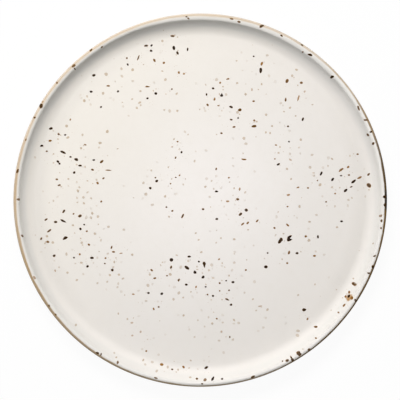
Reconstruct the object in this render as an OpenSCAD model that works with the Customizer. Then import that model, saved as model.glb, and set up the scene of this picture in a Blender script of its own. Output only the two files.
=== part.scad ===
// Flat round serving platter in speckled glazed stoneware.
// One fired clay body carries three coats of cream glaze, a brown band on the lip
// and iron flecks in the glaze. Millimetres, +Z up, origin under the middle of the foot.

/* [Plate] */
// Diameter over the lip
plate_d = 320; // [270:1:400]
// Height from the standing face to the crest of the lip
plate_h = 19; // [17:0.5:28]
// Thickness of the floor and the wall, coats included
body_t = 5.5; // [4:0.1:7]

/* [Wall] */
// Slope of the wall above the horizontal, in degrees
wall_slope = 62; // [50:1:70]
// Radius of the cove where the floor turns up into the wall, less on a low plate
cove_r = 15; // [8:0.5:20]

/* [Foot ring] */
// Diameter at the middle of the standing face
foot_d = 208; // [150:1:240]
// Width of the standing face
foot_w = 4.4; // [3:0.1:8]
// Height of the ring below the underside
foot_h = 3; // [2:0.1:5]
// Slope of the ring's two flanks above the horizontal, in degrees
foot_flank = 62; // [45:1:80]
// Chamfer along both edges of the standing face
foot_chamfer = 0.5; // [0.2:0.1:0.9]

/* [Coats] */
// Thickness of the glaze and of the brown band
glaze_t = 0.4; // [0.2:0.05:0.6]
// Height of bare clay above the standing face
bare_h = 1; // [0.9:0.1:1.5]
// Reach of the brown band over the lip, from the outermost edge inwards
band_over = 2.2; // [1:0.1:3]
// Reach of the brown band down the outer wall, below the round of the lip
band_drop = 1; // [0.5:0.1:3]

/* [Flecks] */
// Height of a fleck above the glaze
fleck_t = 0.1; // [0.05:0.01:0.2]
// Size of the flecks beside those in the lists
fleck_size = 1; // [0.6:0.05:1.6]

/* [Hidden] */
$fn = 128;

clay_colour = "#d9c7ad";
glaze_colour = "#ece7df";
band_colour = "#8a6a48";
black_colour = "#2a1c16";
brown_colour = "#7a4a2a";

// Levels of the well's floor and of the clay's middle
floor_z = foot_h + body_t;
middle_z = foot_h + body_t / 2;
// The lip is a half round on the end of the wall
lip_r = body_t / 2;
// Rounds run this much past the flats that they blend into, so that the two always cross
seam = 0.0005;
// The cove leaves room for a straight piece of wall, however low the plate is
least_wall = 0.5;
well_h = plate_h - floor_z - lip_r * (1 - cos(wall_slope));
cove_fit = min(cove_r, (well_h - least_wall * sin(wall_slope)) / (1 - cos(wall_slope)));
// The wall's straight length, and the centre of the cove, from the overall sizes
wall_len = (well_h - cove_fit * (1 - cos(wall_slope))) / sin(wall_slope);
cove_c = [
    plate_d / 2 - lip_r - wall_len * cos(wall_slope) - (cove_fit + lip_r) * sin(wall_slope),
    floor_z + cove_fit - seam
];
// Where the brown band ends on top of the lip, in degrees round it from the outer wall
band_turn = 90 - wall_slope + acos(1 - band_over / lip_r);
// Larger than anything in the section
reach = plate_d;

// Flecks lie on a square grid of 400 steps with the plate's middle at 200, 200.
// The lip is 374 steps across. X runs to the right and y towards the front.
grid_across = 374;
grid_middle = [200, 200];
grid = plate_d / grid_across;

// Each fleck is [x, y, length, width, turn], in grid steps and degrees
black_list = [
    // upper left
    [93.4, 74.6, 2.8, 1.9, 0], [90.8, 91.1, 2.4, 1.6, -10], [100.6, 106.4, 1.6, 1.4, 0],
    [117.6, 90.7, 1.8, 1.6, 20], [127.3, 63.8, 2, 1.3, -60], [151.3, 44.6, 1.8, 1.5, 45],
    [150.8, 50, 2.2, 1.6, -20], [173.6, 46.9, 3.6, 2.2, -80], [177.2, 52.2, 2.4, 1.7, -60],
    [187.4, 48.6, 2.8, 1.2, 85], [155.4, 93, 2.1, 1.9, 0], [147.2, 97.7, 1.8, 1.5, 30],
    [50.5, 127.9, 2.8, 2, 25], [64.7, 134.4, 1.7, 1.3, 0], [41.2, 145.3, 2.6, 1.7, 10],
    [62.5, 151.8, 4.8, 1.6, -27], [70, 156.5, 2, 1.3, -20], [75.8, 159, 3.2, 2.2, -5],
    [57.3, 161.1, 2.4, 1.9, -40], [59.1, 163.2, 1.8, 1.4, -45], [79.6, 165.2, 2.8, 1.5, -5],
    [73.6, 172.2, 2.2, 1.9, 60], [101.4, 161.2, 3.4, 1.7, 45], [93.4, 159.6, 2.4, 1.3, 0],
    [181.3, 151.8, 1.9, 1.6, 80], [156.4, 180.7, 2.4, 2.1, 0], [150, 187.8, 1.9, 1.7, -30],
    // upper right
    [253.6, 55.6, 1.4, 1.1, 0], [260.5, 69.9, 3.8, 2, 80], [212.9, 87.8, 2, 1.8, 0],
    [206.4, 93.8, 2, 1.2, 90], [221.7, 94.1, 3.2, 2.6, 45], [230.9, 106.4, 3, 1.8, -25],
    [239.8, 109.4, 2.6, 2.1, 15], [238, 117.5, 1.4, 1.2, 0], [254, 125.8, 4.2, 2, 8],
    [302.8, 118.9, 2.8, 1.6, 70], [289, 141.2, 1.4, 1.2, 0], [278.3, 164, 2.3, 1.7, 30],
    [216.2, 191.1, 2.5, 1.6, 0], [341.1, 175.3, 1.7, 1.1, 0], [345.7, 190.1, 3.2, 1.9, 45],
    [353.7, 181.3, 4, 1.7, 40], [332.7, 179.1, 3.2, 1.8, 50], [321.3, 173, 3.4, 1.7, 65],
    // lower left
    [62.6, 220.8, 4.8, 1.6, -25], [80, 228.6, 2.1, 1.9, 0], [83.8, 224.4, 1.5, 1.2, 0],
    [65.1, 237.6, 4.2, 2.2, 10], [73.6, 257.5, 1.4, 1.3, 0], [91.6, 257.7, 3, 1.7, 0],
    [87.2, 266.2, 2, 1.7, 0], [112, 269.9, 2.2, 2.1, 0], [171.2, 259.6, 3, 2.3, -70],
    [186.6, 267.5, 4.4, 2.5, -40], [188.9, 256.5, 2.4, 1.6, 0], [194.8, 272.1, 2.5, 2.1, -40],
    [198.6, 261.4, 1.6, 1.3, 0], [186.2, 284.6, 2, 1.7, 0], [148.2, 292.9, 1.9, 1.6, 0],
    [161.4, 293.6, 2.1, 1.8, 30],
    // lower right
    [216.7, 218.8, 2.3, 1.6, 0], [289.7, 238.5, 4.6, 3.6, 30], [280, 240.8, 4.4, 2.5, 50],
    [267.5, 252.9, 1.5, 1.3, 0], [265.7, 266.6, 2.6, 2.3, 0], [204.3, 264.4, 4.2, 2.4, 90],
    [202.9, 276.9, 2.6, 1.9, 55], [232.8, 282, 2.4, 1.7, 0], [205.4, 286.7, 1.4, 1.2, 0],
    [212.9, 295.8, 1.9, 1.5, -20], [230.9, 304.6, 2, 1.7, 0], [304.1, 309.7, 3, 2.3, 10],
    [206.1, 367.5, 3.4, 1.6, 35], [212.2, 379.2, 3.6, 2.4, 60], [221.9, 379, 1.8, 1.6, 0],
    [341.8, 221, 2.2, 1.4, 0], [297, 253, 2, 1.7, 0], [318, 236.4, 2.4, 1.6, 90],
    [226, 280.6, 1.4, 1.2, 0], [348.8, 296.2, 2.6, 1.8, 60]
];

brown_list = [
    // upper left
    [107.8, 85.2, 2.8, 1.3, 0], [126.4, 57.4, 1.6, 1.3, 0], [138, 56.8, 4, 1, 70],
    [145.7, 44.9, 3, 1.7, 5], [154.2, 59.6, 2.8, 1.5, -55], [163.4, 62.1, 1.9, 1.5, 30],
    [172.2, 35.3, 3.4, 1.5, -5], [178.6, 71.9, 2, 1.5, 80], [183.7, 73.1, 1.8, 1.4, 0],
    [147, 86, 3.2, 1.2, 0], [171.6, 88.5, 1.5, 1.2, 60], [69.8, 119, 1.5, 1, 80],
    [58.2, 133.7, 1.9, 1.5, 0], [49.5, 140.3, 2.4, 1.4, 10], [46.2, 150.8, 1.6, 1.3, 0],
    [92.1, 169.4, 2.4, 1.4, -20], [108, 169.8, 3.8, 1, 0], [84.8, 144.3, 2, 1, -15],
    [103.1, 177.9, 1.9, 1.4, 30], [97.2, 182.8, 2, 1.6, -50], [56.3, 179, 1.8, 1.5, 0],
    [58.7, 184.8, 2.4, 1.6, 15], [177.3, 141.2, 1.6, 1.2, 0], [171.8, 146.3, 2, 1, 10],
    [175.4, 157.3, 1.7, 1.2, 60], [155.1, 177.3, 1.4, 1.1, 0], [170.3, 183.3, 1.3, 1, 30],
    [179.3, 174.9, 1.5, 1, 40], [175.5, 177, 1.4, 1, 0],
    // upper right
    [261.7, 63, 2.6, 1.8, 70], [227.8, 78.2, 2.5, 1.2, 10], [220, 82.1, 1.8, 1.5, 60],
    [214.5, 98.5, 2.4, 1.2, 80], [207.4, 104.3, 2.2, 1.6, -70], [218.2, 105.1, 2.2, 1, 0],
    [231.1, 119.1, 2.4, 1.3, -10], [233.9, 126.5, 2.5, 1.3, 5], [254.2, 119.8, 1.8, 1.3, 0],
    [221.3, 132.7, 1.8, 1.4, 0], [253.6, 100.6, 1.9, 1.4, 10], [251.9, 88.9, 2.4, 1.2, 85],
    [287, 80.6, 3.8, 2, 65], [301.5, 82, 2.4, 1.8, 0], [304.8, 90.9, 2, 1.5, 60],
    [285.7, 98.9, 3.4, 1.4, 85], [298.5, 97.3, 4.6, 1.3, 80], [288, 125.8, 1.7, 1.4, 0],
    [275.9, 144.6, 1.8, 1, -10], [274.9, 158.5, 1.4, 1.1, 0], [290.3, 159.4, 2.6, 1.4, -30],
    [244, 158.9, 4.4, 1.3, -10], [216, 168.6, 2, 1.3, 80], [228.7, 177.3, 1.6, 1.2, 0],
    [239.5, 188.8, 2.6, 1.4, 80], [341.2, 169.3, 4.6, 1.6, 35], [348.3, 166.5, 2.2, 1.6, 45],
    [349.1, 174.6, 1.7, 1.3, 0], [359.4, 177.4, 3.8, 1.4, 25], [351.4, 186.5, 2.2, 1.1, 30],
    [368.6, 174.1, 2.8, 1.7, 45], [357.8, 153.7, 1.8, 1.3, 0], [369, 185, 3.6, 2.8, -30],
    [317.5, 180.1, 1.3, 1, 60], [298, 187.1, 2.4, 1, 20], [308, 187.6, 1.7, 1.3, 0],
    [288.3, 194.6, 2.5, 1.7, 10], [237.5, 199, 2.4, 1.8, 0], [335.2, 193.2, 1.5, 1.2, 0],
    // lower left
    [63.4, 211, 2.8, 1.6, 55], [79.6, 215.6, 3, 2, 25], [73.1, 213.6, 1.6, 1.2, 0],
    [45.5, 219.4, 3.6, 1.4, 45], [55.2, 221.7, 3, 2, 5], [86.4, 231, 1.7, 1.4, 0],
    [49, 230.4, 3.8, 1.4, 35], [40.6, 238.5, 2.4, 1.5, 60], [47.3, 241.7, 2.6, 1.7, -10],
    [53.7, 255.5, 2.4, 1.9, 40], [54.7, 270.5, 2, 1.4, -60], [79.3, 254.1, 1.6, 1.4, 40],
    [88.6, 244.4, 2, 1.5, -30], [111.2, 247.1, 2.6, 1.4, 70], [113.3, 251.7, 2.4, 1.3, 0],
    [120.5, 253.1, 2.6, 1, 10], [105.2, 258, 1.6, 1.2, 30], [104.5, 263.4, 1.4, 1.1, 0],
    [166.2, 206.8, 1.5, 1.3, 0], [172.1, 210.6, 1.7, 1.3, 20], [182.4, 215.6, 3.6, 1.6, 65],
    [100.8, 201.3, 1.8, 1.3, 60], [170.7, 267.1, 2.6, 1.6, 75], [178.4, 280, 2.3, 1.5, 60],
    [151.3, 270, 2.4, 1.4, -30], [154.5, 278.1, 2.5, 1.4, 10], [166.7, 275.6, 1.6, 1.2, 0],
    [132.9, 294.1, 2, 1.3, -10], [153.4, 308.8, 2, 1.3, -60], [158.4, 306.8, 1.5, 1.2, 0],
    [131.6, 322.7, 2.2, 1.5, 0], [140.4, 331.8, 2, 1.4, 60], [132, 335.5, 1.8, 1.4, 0],
    [146, 351, 1.6, 1.4, 0], [161.4, 364.5, 2.6, 2.2, 0], [171.9, 369.4, 1.7, 1.4, 0],
    [183.3, 367, 2.3, 1.6, -50], [196.7, 378.8, 2, 1.8, 0], [195.8, 286.9, 2, 1.1, 80],
    // lower right
    [245.9, 209.9, 3, 2.6, -40], [240.3, 214, 3.4, 2, 45], [242.6, 223.7, 3, 1.3, 40],
    [247.6, 222.6, 2.4, 1.4, 55], [257, 220.7, 3, 1.3, 45], [202.8, 208.9, 1.9, 1.5, 0],
    [227.7, 201, 2.6, 1.6, 0], [287.4, 206.4, 1.4, 1.2, 0], [326.1, 201.5, 1.6, 1.3, -20],
    [274.4, 227.7, 1.7, 1.4, 0], [287.6, 224.9, 3, 1.4, -40], [305.7, 236.1, 2.1, 1.8, 0],
    [288.9, 252.3, 2.8, 1.7, 75], [314.4, 255.7, 2.2, 1.4, 0], [287.1, 263, 1.8, 1.5, 0],
    [218.8, 259.1, 1.8, 1.4, 30], [219.5, 283, 1.5, 1.3, 0], [245.7, 269.9, 1.6, 1.4, 40],
    [207.3, 294.5, 1.4, 1.2, 0], [226.9, 299.2, 3.2, 1.4, -25], [228.8, 290.2, 1.5, 1.3, 0],
    [219.5, 290.7, 1.4, 1.2, 90], [260.1, 306.1, 2.8, 1.1, 5], [307.5, 318.9, 2.1, 1.3, 70],
    [315.8, 326.8, 2.8, 1.6, 0], [315.7, 338.3, 1.6, 1.3, -20], [216.6, 318.6, 1.6, 1.3, -30],
    [221.3, 331.6, 2, 1.5, 70], [229.6, 337, 1.7, 1.1, 80], [354.1, 283.9, 3.6, 2.6, -30],
    [344.1, 305.2, 3.2, 1.4, 45], [338.3, 312.5, 1.6, 1.4, 0], [345.6, 296.6, 2.2, 1.9, 70],
    [351.9, 298.2, 2.8, 2.2, 60], [349, 292.2, 2.2, 1.6, 80], [298.2, 353, 3.2, 2.6, 30],
    [291.2, 358.2, 3.4, 1.6, -60], [287.1, 360.7, 2.6, 2, 40], [282.3, 361.3, 1.3, 1.2, 0]
];

lip_list = [
    // upper left, from the left edge to the top
    [18.2, 199.6, 2.8, 1.8, 0], [17.2, 170.9, 4.6, 1.8, 65], [25.5, 139.7, 2.2, 1.2, 70],
    [34.2, 117.6, 1.8, 1.6, 0], [40.8, 105.9, 3.6, 3, 60], [42.2, 101.7, 1.8, 1.3, 60],
    [56.6, 82.7, 2, 1.8, 45], [73.1, 65.7, 3.6, 2.4, 45], [74.6, 68.7, 2.2, 1, -55],
    [90.7, 49.7, 3.6, 1.6, 50], [101.4, 46.9, 2.4, 1.2, 30], [186.2, 16.5, 1.6, 1.2, 0],
    [188.2, 18.2, 2, 1.3, -45],
    // upper right, from the top to the right edge
    [231.3, 18.6, 3, 1.4, -10], [238.9, 21.7, 3, 1.6, -20], [261.5, 25.9, 4.2, 2, 25],
    [281.3, 35.5, 2.4, 1.6, -30], [302, 44.9, 2, 1.2, -30], [310, 54.6, 3.8, 1.9, -15],
    [302.7, 51.7, 1.8, 1.4, 0], [332.1, 76.7, 2.8, 2.2, 0], [358.5, 108.4, 4, 1.8, -70],
    [365.8, 119.9, 3.4, 1.6, 0], [367.8, 134.6, 2.8, 1.6, -60], [370.8, 131.9, 2.4, 1.8, 0],
    [373.2, 143.5, 3.2, 2, 60], [384.2, 197, 2.8, 2.2, 0],
    // lower right, from the right edge to the front
    [384.8, 205, 3, 2, 80], [380.5, 215.9, 2.6, 2, 0], [381.4, 221, 2.8, 1.8, 80],
    [380.9, 228.3, 1.6, 1.4, 0], [374.5, 256.1, 2.6, 1.2, 20], [372.8, 267, 2.8, 2.2, -60],
    [368.4, 273.3, 2.4, 1.6, 0], [355.4, 300.5, 2.4, 1.8, -45], [309, 349.9, 2.4, 2, 0],
    [252.9, 377, 4, 1.5, 20], [201.9, 384, 1.8, 1.4, 0], [204.8, 380.1, 2.6, 2.1, 60],
    // lower left, from the front to the left edge
    [155.9, 378.3, 3.2, 1.5, -20], [117.5, 362.6, 2.6, 1.5, 80], [97.2, 353.1, 2.8, 2, -30],
    [100.8, 354.6, 2.6, 1.1, 75], [55.5, 314.8, 2, 1.4, -50], [48.9, 305.9, 2, 1.4, -50],
    [34.2, 277.8, 3, 1.6, -60], [22.1, 236.1, 2.6, 1.8, -50]
];

// Corners of a fleck's outline, and how far outside and inside the fleck's oval they lie
fleck_corners = 7;
fleck_out = 1.2;
fleck_in = 0.9;

// A number from 0 to 1 that looks random and is the same every time
function scatter(seed) = let (wave = 43758.5453 * sin(127.1 * seed + 311.7)) wave - floor(wave);

// A fleck's place from above, and whether all of it is on the flat of the floor
function fleck_place(fleck) = grid * [fleck[0] - grid_middle.x, grid_middle.y - fleck[1]];
function on_floor(fleck) = norm(fleck_place(fleck)) + grid * fleck_size * fleck[2] / 2 < cove_c.x;

// The wall's own frame: x runs from the cove's centre square through the wall, y up along it
module wall_frame() {
    translate(cove_c) rotate(wall_slope - 90) children();
}

// The same frame moved to the centre of the lip's round
module lip_frame() {
    wall_frame() translate([cove_fit + lip_r - seam, wall_len]) children();
}

// Everything within the face in half section, let out by depth into the clay
module well_zone(depth) {
    translate([0, floor_z - depth]) square([cove_c.x, reach]);
    translate(cove_c) circle(cove_fit + depth);
    wall_frame()
        translate([-wall_len, 0])
            square([wall_len + cove_fit + depth - seam, 2 * plate_h]);
}

// Half section of floor, wall and lip, drawn in by inset from the face and from the back
module body_section(inset) {
    difference() {
        intersection() {
            well_zone(body_t - inset);
            wall_frame() translate([-reach, -reach]) square([2 * reach, reach + wall_len]);
        }
        well_zone(inset);
    }
    lip_frame() circle(lip_r - inset + seam);
}

// Half section of the foot ring up into the clay, with its flanks drawn in by inset
module foot_section(inset) {
    low_half = foot_w / 2 - inset / sin(foot_flank);
    edge_half = low_half + foot_chamfer;
    top_half = edge_half + (middle_z - foot_chamfer) / tan(foot_flank);
    translate([foot_d / 2, 0])
        polygon([[-low_half, 0], [low_half, 0], [edge_half, foot_chamfer], [top_half, middle_z],
            [-top_half, middle_z], [-edge_half, foot_chamfer]]);
}

// Half section of all the coats, down to the bare clay of the foot
module coat_section() {
    difference() {
        union() {
            body_section(0);
            foot_section(0);
        }
        body_section(glaze_t);
        foot_section(glaze_t);
        square([plate_d, bare_h]);
    }
}

// The side of the half section that the face takes, up to the top of the lip
module face_zone() {
    well_zone(body_t / 2);
    lip_frame() translate([-reach, 0]) square([2 * reach, reach]);
}

// The outside of the lip between the two edges of the brown band
module band_zone() {
    lip_frame()
        polygon([[0, 0], [0, -band_drop], [reach, -band_drop], [reach, reach],
            reach * [cos(band_turn), sin(band_turn)]]);
}

module back_section() {
    difference() {
        coat_section();
        face_zone();
        band_zone();
    }
}

// The fired clay: floor, wall and foot ring in one piece, bare at the foot
module clay_body() {
    color(clay_colour)
        rotate_extrude() {
            body_section(glaze_t);
            foot_section(glaze_t);
            intersection() {
                foot_section(0);
                square([plate_d, bare_h]);
            }
        }
}

// Cream glaze over the floor, the cove, the inner wall and the crest of the lip
module face_glaze() {
    color(glaze_colour)
        rotate_extrude()
            difference() {
                intersection() {
                    coat_section();
                    face_zone();
                }
                band_zone();
            }
}

// Brown band round the outer edge of the lip
module lip_band() {
    color(band_colour)
        rotate_extrude()
            intersection() {
                coat_section();
                band_zone();
            }
}

// Cream glaze over the outer wall and the underside, down to the foot ring
module back_glaze() {
    color(glaze_colour)
        rotate_extrude()
            intersection() {
                back_section();
                translate([foot_d / 2, 0]) square(reach);
            }
}

// Cream glaze on the underside within the foot ring
module base_glaze() {
    color(glaze_colour)
        rotate_extrude()
            intersection() {
                back_section();
                square([foot_d / 2, reach]);
            }
}

// A thin skin on the glaze of the face and the top of the lip, for the flecks that bend
module fleck_skin() {
    rotate_extrude()
        intersection() {
            difference() {
                body_section(-fleck_t);
                body_section(0);
            }
            union() {
                well_zone(body_t / 2);
                translate([0, plate_h - lip_r]) square(reach);
            }
        }
}

// Outline of one fleck from above: an uneven oval with a few corners
module fleck_outline(fleck) {
    half = grid * fleck_size * [fleck[2], fleck[3]] / 2;
    translate(fleck_place(fleck))
        rotate(fleck[4])
            polygon([
                for (corner = [0 : fleck_corners - 1])
                    let (
                        angle = 360 * corner / fleck_corners,
                        chance = scatter(fleck[0] + 3 * fleck[1] + 7 * corner),
                        share = fleck_out + (fleck_in - fleck_out) * chance
                    )
                    share * [half.x * cos(angle), half.y * sin(angle)]
            ]);
}

// Flecks on the flat floor are thin plates, and the others follow the cove, wall and lip
module flecks(list) {
    translate([0, 0, floor_z])
        linear_extrude(fleck_t)
            for (fleck = list)
                if (on_floor(fleck)) fleck_outline(fleck);
    intersection() {
        fleck_skin();
        linear_extrude(plate_h + 2 * fleck_t)
            for (fleck = list)
                if (!on_floor(fleck)) fleck_outline(fleck);
    }
}

// Iron flecks that melted to near black in the glaze of the well
module black_flecks() {
    color(black_colour) flecks(black_list);
}

// Iron flecks that stayed rust brown in the glaze of the well
module brown_flecks() {
    color(brown_colour) flecks(brown_list);
}

// Dark flecks on the crest of the lip and over the brown band
module lip_flecks() {
    color(black_colour) flecks(lip_list);
}

clay_body();
face_glaze();
lip_band();
back_glaze();
base_glaze();
black_flecks();
brown_flecks();
lip_flecks();
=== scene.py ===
# %% [markdown]
# # A speckled stoneware platter
#
# This lesson dresses one round serving platter: a flat floor, a low wall, a rounded lip with a
# brown edge, and iron flecks in a cream glaze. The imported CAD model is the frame. It says where
# the clay, the coats and the flecks are. Each piece is drawn again, finer, in the same place,
# and then it gets a finish. Lengths are metres, +Z is up, and the foot stands on z = 0.

# %% Load the frame
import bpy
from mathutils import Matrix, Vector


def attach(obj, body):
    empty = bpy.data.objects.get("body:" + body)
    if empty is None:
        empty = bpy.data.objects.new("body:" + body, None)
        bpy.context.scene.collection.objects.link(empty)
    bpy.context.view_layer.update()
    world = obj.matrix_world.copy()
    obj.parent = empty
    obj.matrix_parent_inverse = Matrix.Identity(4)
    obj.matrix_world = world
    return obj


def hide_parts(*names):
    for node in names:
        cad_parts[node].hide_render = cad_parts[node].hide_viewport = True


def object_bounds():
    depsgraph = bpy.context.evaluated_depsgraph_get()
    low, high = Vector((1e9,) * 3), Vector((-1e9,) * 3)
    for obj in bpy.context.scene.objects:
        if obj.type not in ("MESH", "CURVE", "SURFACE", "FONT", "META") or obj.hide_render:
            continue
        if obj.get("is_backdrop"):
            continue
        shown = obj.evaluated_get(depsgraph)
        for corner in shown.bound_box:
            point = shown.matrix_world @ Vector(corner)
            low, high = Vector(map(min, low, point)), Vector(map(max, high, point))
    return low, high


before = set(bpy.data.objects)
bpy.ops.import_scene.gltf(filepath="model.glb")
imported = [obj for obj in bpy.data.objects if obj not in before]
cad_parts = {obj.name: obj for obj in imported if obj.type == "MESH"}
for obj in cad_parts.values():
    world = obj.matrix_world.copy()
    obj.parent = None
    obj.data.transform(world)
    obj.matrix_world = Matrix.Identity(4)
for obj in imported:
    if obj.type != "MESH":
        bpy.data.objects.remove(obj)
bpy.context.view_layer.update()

# %% Blender's modules
import math
import random

import bmesh
import bpy
from mathutils import Matrix, Vector
from mathutils.bvhtree import BVHTree
from mathutils.kdtree import KDTree

print("Blender", bpy.app.version_string)

# %% [markdown]
# ## The half section
#
# A thrown or pressed platter is round, so one half section says everything about it. It could
# be typed as a list of points, but then nobody sees why a point is where it is. Here the few
# sizes of the real object come first, and the rest follows: the wall leans out at one slope,
# a cove joins it to the floor, and the lip is half a round on its end. The lip is drawn a hair
# smaller than the CAD's, because a finer mesh reaches a little further out at the same size.

# %% Sizes of the platter
MM = 0.001
HAIR = 0.02 * MM
plate_r = 160 * MM - HAIR
plate_h = 19 * MM
body_t = 5.5 * MM
wall_slope = math.radians(62)
cove_r = 15 * MM
foot_r = 104 * MM
foot_half = 2.2 * MM
foot_h = 3 * MM
foot_flank = math.radians(62)
foot_chamfer = 0.5 * MM
glaze_t = 0.4 * MM
bare_h = 1 * MM
band_over = 2.2 * MM
band_drop = 1 * MM

# %% What follows from them
floor_z = foot_h + body_t
lip_r = body_t / 2
up_wall = Vector((math.cos(wall_slope), 0, math.sin(wall_slope)))
off_wall = Vector((math.sin(wall_slope), 0, -math.cos(wall_slope)))
lip_mid = Vector((plate_r - lip_r, 0, plate_h - lip_r))
wall_rise = lip_mid.z - floor_z - cove_r + (cove_r + lip_r) * math.cos(wall_slope)
wall_len = wall_rise / math.sin(wall_slope)
cove_mid = lip_mid - wall_len * up_wall - (cove_r + lip_r) * off_wall
edge_turn = math.acos(1 - band_over / lip_r)
print("wall", round(wall_len / MM, 2), "mm long, cove centre at r", round(cove_mid.x / MM, 2), "mm")

# %% [markdown]
# ## A pen for sections
#
# A section is drawn as with a pen: put the tip down, draw lines, swing arcs. Each stroke is one
# bmesh operator. Extruding a vertex draws a line, and spinning a vertex round a centre draws an
# arc. Then one full spin round Z turns the section into a solid, as a potter's wheel does.

# %% The pen
def pen_down(point):
    """A new mesh with one vertex, which is the pen's tip."""
    bm = bmesh.new()
    return bm, bmesh.ops.create_vert(bm, co=point)["vert"][0]


def line_to(bm, tip, point, steps=1):
    """Draws a straight line to a point and returns the new tip."""
    stride = (Vector(point) - tip.co) / steps
    for _ in range(steps):
        tip = bmesh.ops.extrude_vert_indiv(bm, verts=[tip])["verts"][0]
        bmesh.ops.translate(bm, verts=[tip], vec=stride)
    return tip


def swing(bm, tip, centre, turn, steps):
    """Draws an arc round a centre, from +X towards +Z where the turn is positive."""
    arc = bmesh.ops.spin(
        bm, geom=[tip], cent=centre, axis=(0, -1, 0), angle=turn, steps=steps, use_duplicate=False
    )
    return [part for part in arc["geom_last"] if isinstance(part, bmesh.types.BMVert)][0]


# %% The wheel
SPOKES = 288
FUSE = 1e-6
NEAR = 5 * FUSE


def throw(bm):
    """Turns the section into a closed solid round Z."""
    bmesh.ops.remove_doubles(bm, verts=bm.verts[:], dist=FUSE)
    bmesh.ops.spin(
        bm, geom=bm.verts[:] + bm.edges[:], cent=(0, 0, 0), axis=(0, 0, 1),
        angle=2 * math.pi, steps=SPOKES, use_merge=True, use_duplicate=False,
    )
    bmesh.ops.remove_doubles(bm, verts=bm.verts[:], dist=FUSE)
    bmesh.ops.recalc_face_normals(bm, faces=bm.faces[:])


def ring_edges(bm, radius, height):
    """The edges of the ring at this radius and height."""
    def on_ring(vert):
        return abs(vert.co.xy.length - radius) < NEAR and abs(vert.co.z - height) < NEAR
    return [edge for edge in bm.edges if all(on_ring(vert) for vert in edge.verts)]


def soften(bm, point, width):
    """Rounds the ring that a corner of the section has become."""
    edges = ring_edges(bm, point[0], point[2])
    bmesh.ops.bevel(
        bm, geom=edges, offset=width, offset_type="OFFSET", affect="EDGES",
        segments=4, profile=0.5, material=-1, clamp_overlap=True,
    )


print("one full turn takes", SPOKES, "steps")

# %% [markdown]
# ## From a mesh to a piece of the object
#
# Every piece ends the same way: the mesh gets smooth shading that stays crisp at true corners,
# the object sits unturned at the origin, it rides on the platter's one body, and the CAD nodes
# that it stands for are hidden.

# %% Finish a piece
SHARP = math.radians(40)


def make_piece(bm, name, slot, *nodes):
    """Links the mesh as a piece that stands for these CAD nodes."""
    open_edges = sum(not edge.is_manifold for edge in bm.edges)
    mesh = bpy.data.meshes.new(name)
    bm.to_mesh(mesh)
    bm.free()
    mesh.shade_smooth()
    mesh.set_sharp_from_angle(angle=SHARP)
    piece = bpy.data.objects.new(name, mesh)
    bpy.context.scene.collection.objects.link(piece)
    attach(piece, "root")
    if nodes:
        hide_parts(*nodes)
    print(name, len(mesh.polygons), "faces,", open_edges, "open edges")
    return piece


# %% [markdown]
# ## The fired clay
#
# The body is one piece of stoneware: floor, wall, lip and foot ring. Only the foot's standing
# face stays bare, because glaze would stick to the kiln shelf. The section runs just under the
# coats from the middle of the floor over the lip and back along the underside. The two edges of
# the standing face are rounded with a bevel, because a potter wipes them with a wet sponge.

# %% Points that several sections share
def on_lip(turn, radius):
    """A point of the lip's round, by its angle above the outward level."""
    return lip_mid + radius * Vector((math.cos(turn), 0, math.sin(turn)))


def on_flank(side, height, depth):
    """A point of the foot ring's flank, on its outer or inner side, so far under the coat."""
    half = foot_half + foot_chamfer + (height - foot_chamfer) / math.tan(foot_flank)
    return Vector((foot_r + side * (half - depth / math.sin(foot_flank)), 0, height))


inner_wall = wall_slope + math.pi / 2
outer_wall = wall_slope - math.pi / 2
crest_turn = inner_wall - edge_turn
band_turn = edge_turn - outer_wall
band_low = lip_mid + lip_r * off_wall - band_drop * up_wall
under_z = foot_h + glaze_t
print("brown band outside r", round(on_lip(edge_turn, lip_r).x / MM, 2), "mm")

# %% Draw and throw the clay
SPONGED = 0.25 * MM
bm, tip = pen_down((0, 0, floor_z - glaze_t))
tip = line_to(bm, tip, (cove_mid.x, 0, floor_z - glaze_t), 4)
tip = swing(bm, tip, cove_mid, wall_slope, 6)
tip = line_to(bm, tip, on_lip(inner_wall, lip_r - glaze_t))
tip = swing(bm, tip, lip_mid, -math.pi, 12)
tip = line_to(bm, tip, cove_mid + (cove_r + body_t - glaze_t) * off_wall)
tip = swing(bm, tip, cove_mid, -wall_slope, 6)
for side in (1, -1):
    corners = [
        on_flank(side, under_z, glaze_t), on_flank(side, bare_h, glaze_t), on_flank(side, bare_h, 0),
        on_flank(side, foot_chamfer, 0), Vector((foot_r + side * foot_half, 0, 0)),
    ]
    for corner in corners[::side]:
        tip = line_to(bm, tip, corner)
line_to(bm, tip, (0, 0, under_z), 3)
throw(bm)
for side in (1, -1):
    soften(bm, on_flank(side, foot_chamfer, 0), SPONGED)
    soften(bm, (foot_r + side * foot_half, 0, 0), SPONGED)
clay = make_piece(bm, "clay_foot_and_body", "clay", "clay_body")

# %% [markdown]
# ## The glaze on the face
#
# The glaze is a real coat, nearly half a millimetre thick, that runs over the floor, up the
# cove and the wall, and over the crest of the lip to the brown band. It is thrown from its own
# section: out along its surface, and back along the clay. The floor has many rings, so that a
# value can be painted on its vertices later.
#
# No hand-made wall is quite even. At the back, a little to the right, this one is thicker, so
# there the cove and the wall of the finished coat are pressed inward. The crest of the lip and
# the floor stay where the CAD has them.

# %% A wall that isn't quite even
UNEVEN = 0.85 * MM
UNEVEN_SIDE = Vector((0.31, 0.95))
UNEVEN_FROM, UNEVEN_FULL = 0.76, 0.97
COVE_RUN = 8 * MM
CREST_RUN = 1.8 * MM


def smooth(value, low, high):
    """A soft step from 0 to 1 as the value goes from low to high."""
    share = min(1, max(0, (value - low) / (high - low)))
    return share * share * (3 - 2 * share)


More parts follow.
